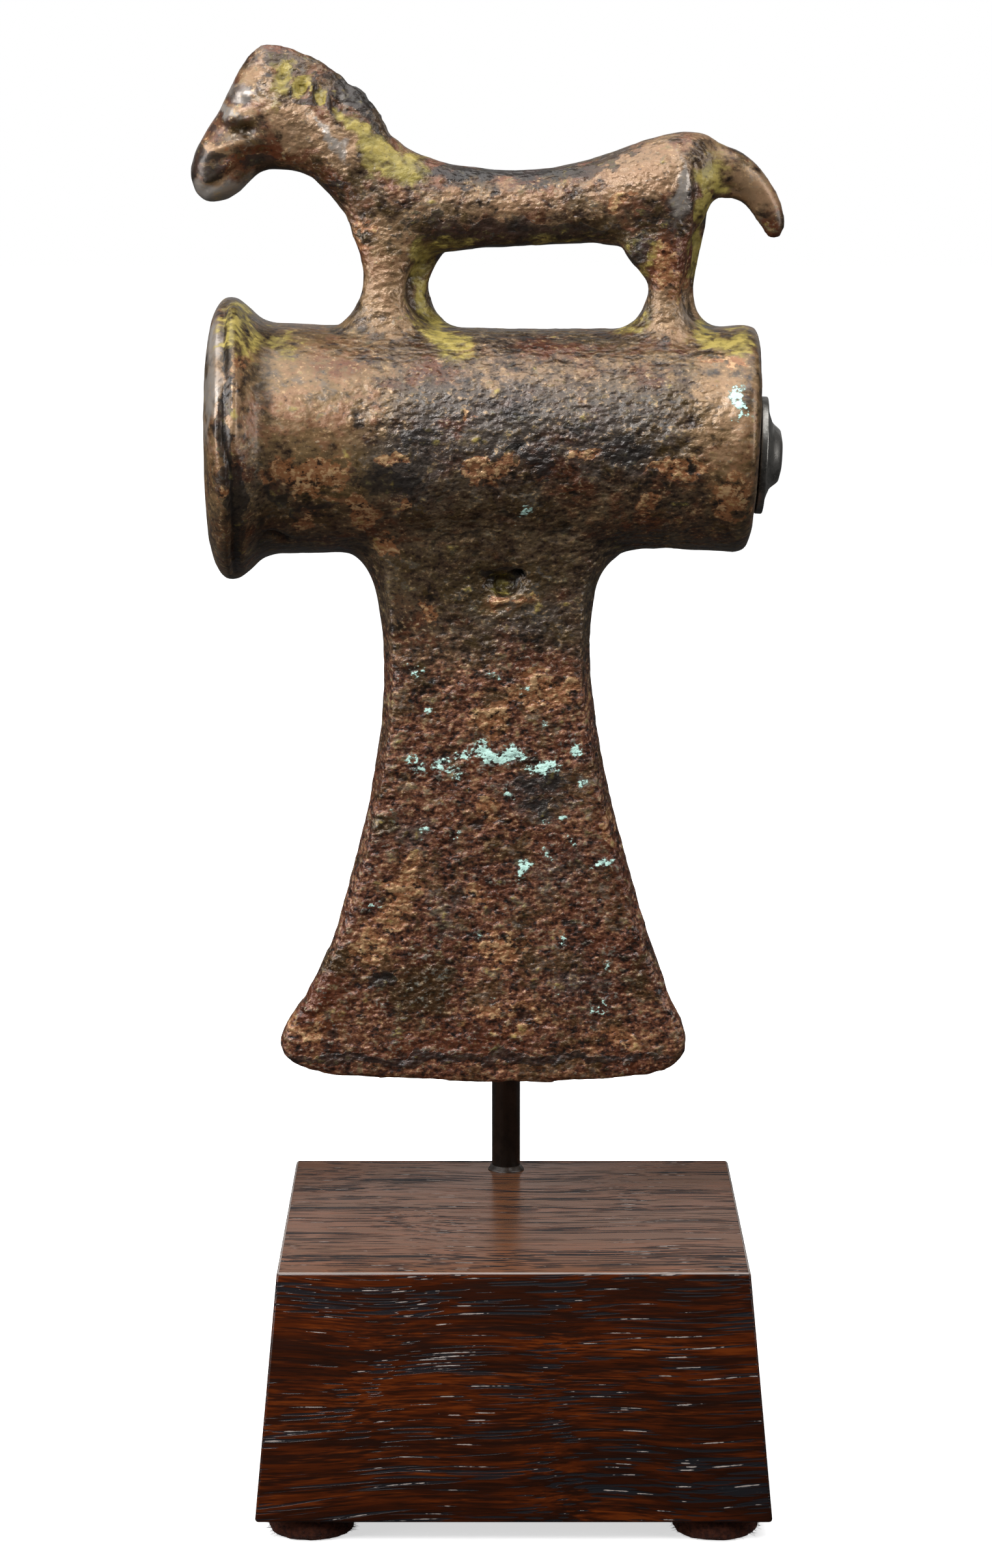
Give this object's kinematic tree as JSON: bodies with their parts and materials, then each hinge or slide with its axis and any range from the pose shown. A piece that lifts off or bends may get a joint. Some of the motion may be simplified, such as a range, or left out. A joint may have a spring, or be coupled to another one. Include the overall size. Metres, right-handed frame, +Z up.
{
  "type": "bronze age axe head",
  "caption": "Ancient cast bronze shaft-hole axe head with a horse standing on its tube, held up by a steel rod on a tapered wooden plinth with felt feet.",
  "frame": {"origin": "middle of the whole object's footprint, on the surface that the felt feet stand on", "axes": "+Z up; -Y is the show side, with the rod behind at +Y; the horse looks towards -X"},
  "size_m": [0.0896, 0.0762, 0.2187],
  "materials": {
    "bronze": "corroded cast bronze with a brown, red and green patina",
    "blackened_steel": "turned and blackened",
    "painted_rod": "satin dark brown paint",
    "dark_wood": "dark open-grained wood under gloss lacquer",
    "felt": "brown felt"
  },
  "bodies": {
    "root": {"axe_head": "bronze", "end_cap": "blackened_steel", "mount_rod": "painted_rod", "plinth": "dark_wood", "felt_pad_front_left": "felt", "felt_pad_front_right": "felt", "felt_pad_back_left": "felt", "felt_pad_back_right": "felt"}
  },
  "joints": []
}
